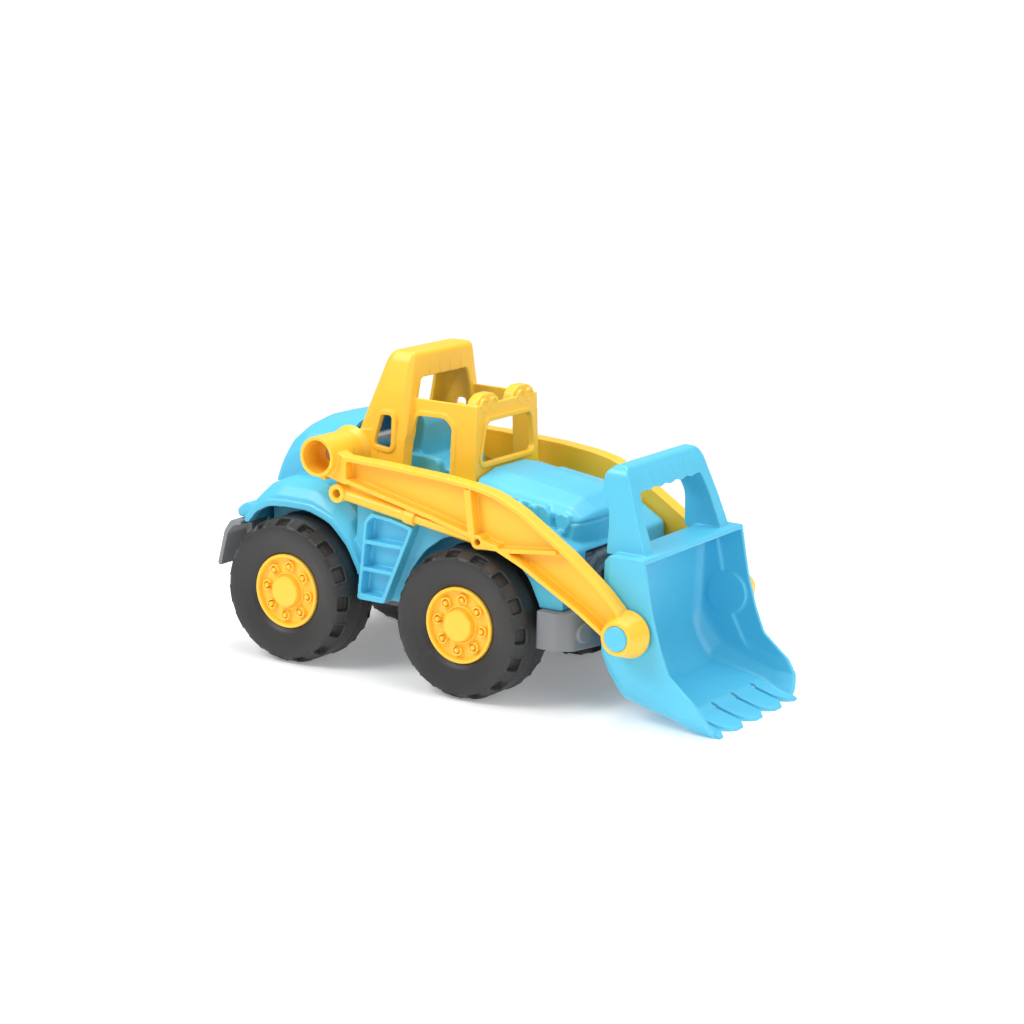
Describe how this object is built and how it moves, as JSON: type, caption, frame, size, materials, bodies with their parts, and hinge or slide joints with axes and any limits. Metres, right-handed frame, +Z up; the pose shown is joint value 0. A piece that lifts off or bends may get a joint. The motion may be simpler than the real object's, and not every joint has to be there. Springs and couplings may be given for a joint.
{
  "type": "toy wheel loader",
  "caption": "Chunky moulded toy wheel loader with free-rolling wheels, raising loader arms, a tilting toothed bucket with a grab handle and an open cab with a grab loop.",
  "frame": {"origin": "centre of the overall bounding box in plan, on the ground under the wheels", "axes": "+X forward, towards the bucket; +Y to the toy's left; +Z up"},
  "size_m": [0.3727, 0.169, 0.2069],
  "materials": {
    "blue_plastic": "smooth semi-matte moulded plastic, sky blue",
    "yellow_plastic": "smooth semi-matte moulded plastic, warm yellow",
    "grey_plastic": "smooth semi-matte moulded plastic, mid grey",
    "dark_grey_plastic": "smooth semi-matte moulded plastic, darker grey",
    "black_tyre": "matte black moulded plastic with fine grain",
    "steel": "plain zinc-plated steel"
  },
  "bodies": {
    "chassis": {"chassis_pan": "grey_plastic", "engine_grille": "dark_grey_plastic", "body_shell": "blue_plastic", "driver_seat": "blue_plastic", "cab_frame": "yellow_plastic", "axle_retainer_front": "grey_plastic", "axle_retainer_rear": "grey_plastic", "retainer_screws": "steel", "body_screws": "steel"},
    "front_wheels": {"axle_front": "steel", "tyre_front_left": "black_tyre", "tyre_front_right": "black_tyre", "hub_front_left": "yellow_plastic", "hub_front_right": "yellow_plastic"},
    "rear_wheels": {"axle_rear": "steel", "tyre_rear_left": "black_tyre", "tyre_rear_right": "black_tyre", "hub_rear_left": "yellow_plastic", "hub_rear_right": "yellow_plastic"},
    "loader_arms": {"arm_left": "yellow_plastic", "arm_right": "yellow_plastic", "arm_tube_left": "yellow_plastic", "arm_tube_right": "yellow_plastic", "arm_cross_shaft": "steel"},
    "bucket": {"bucket": "blue_plastic", "bucket_pin_left": "blue_plastic", "bucket_pin_right": "blue_plastic"}
  },
  "joints": [
    {"name": "front_axle_spin", "type": "hinge", "parent": "chassis", "child": "front_wheels", "pos_m": [0.01385, 0, 0.048], "axis": [0, 1, 0], "continuous": true},
    {"name": "rear_axle_spin", "type": "hinge", "parent": "chassis", "child": "rear_wheels", "pos_m": [-0.12135, 0, 0.048], "axis": [0, 1, 0], "continuous": true},
    {"name": "arm_lift", "type": "hinge", "parent": "chassis", "child": "loader_arms", "pos_m": [-0.09715, 0, 0.1407], "axis": [0, -1, 0], "range_deg": [0, 60]},
    {"name": "bucket_tilt", "type": "hinge", "parent": "loader_arms", "child": "bucket", "pos_m": [0.12725, 0, 0.0591], "axis": [0, -1, 0], "range_deg": [-28, 10]}
  ]
}
